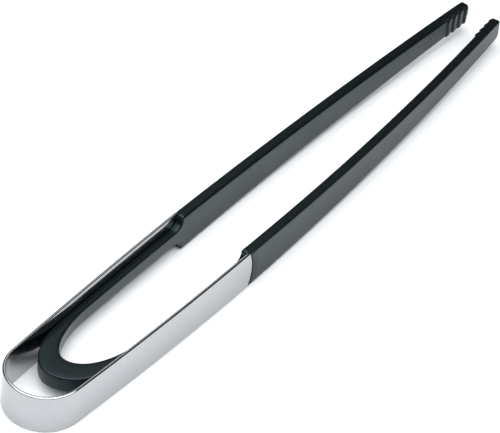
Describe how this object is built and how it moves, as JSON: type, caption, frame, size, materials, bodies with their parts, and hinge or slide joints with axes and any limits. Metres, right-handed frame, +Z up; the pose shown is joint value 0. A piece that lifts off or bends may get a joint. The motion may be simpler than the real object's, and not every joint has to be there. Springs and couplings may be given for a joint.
{
  "type": "spring tongs",
  "caption": "Spring loaded kitchen tongs: a sprung steel strip bent into a U, lined with nylon that carries on as two long arms with ridged tips.",
  "frame": {"origin": "under the middle of the tongs, on the surface that they lie on", "axes": "+X along the tongs from the sprung bend to the tips, +Y across them to the left arm, +Z up, across the width of the steel strip"},
  "size_m": [0.2999, 0.036, 0.0172],
  "materials": {
    "satin_steel": "satin stainless steel, fine grain along the strip",
    "black_nylon": "moulded black nylon, fine matt texture",
    "stud_steel": "plain turned steel"
  },
  "bodies": {
    "bend": {"spring_bow": "satin_steel", "nylon_bow": "black_nylon"},
    "left_side": {"left_spring_leg": "satin_steel", "left_arm": "black_nylon", "left_anchor_studs": "stud_steel"},
    "right_side": {"right_spring_leg": "satin_steel", "right_arm": "black_nylon", "right_anchor_studs": "stud_steel"}
  },
  "joints": [
    {"name": "left_side_flex", "type": "hinge", "parent": "bend", "child": "left_side", "pos_m": [-0.134, 0.00115, 0.0086], "axis": [0, 0, -1], "range_deg": [-2.5, 1.05], "stiffness_Nm_per_rad": 30, "deforming": ["spring_bow", "nylon_bow"]},
    {"name": "right_side_flex", "type": "hinge", "parent": "bend", "child": "right_side", "pos_m": [-0.134, 0.00115, 0.0086], "axis": [0, 0, 1], "range_deg": [-2.5, 1.05], "stiffness_Nm_per_rad": 30, "deforming": ["spring_bow", "nylon_bow"]}
  ],
  "couplings": [
    {"joint": "right_side_flex", "follows": "left_side_flex", "ratio": 1}
  ]
}
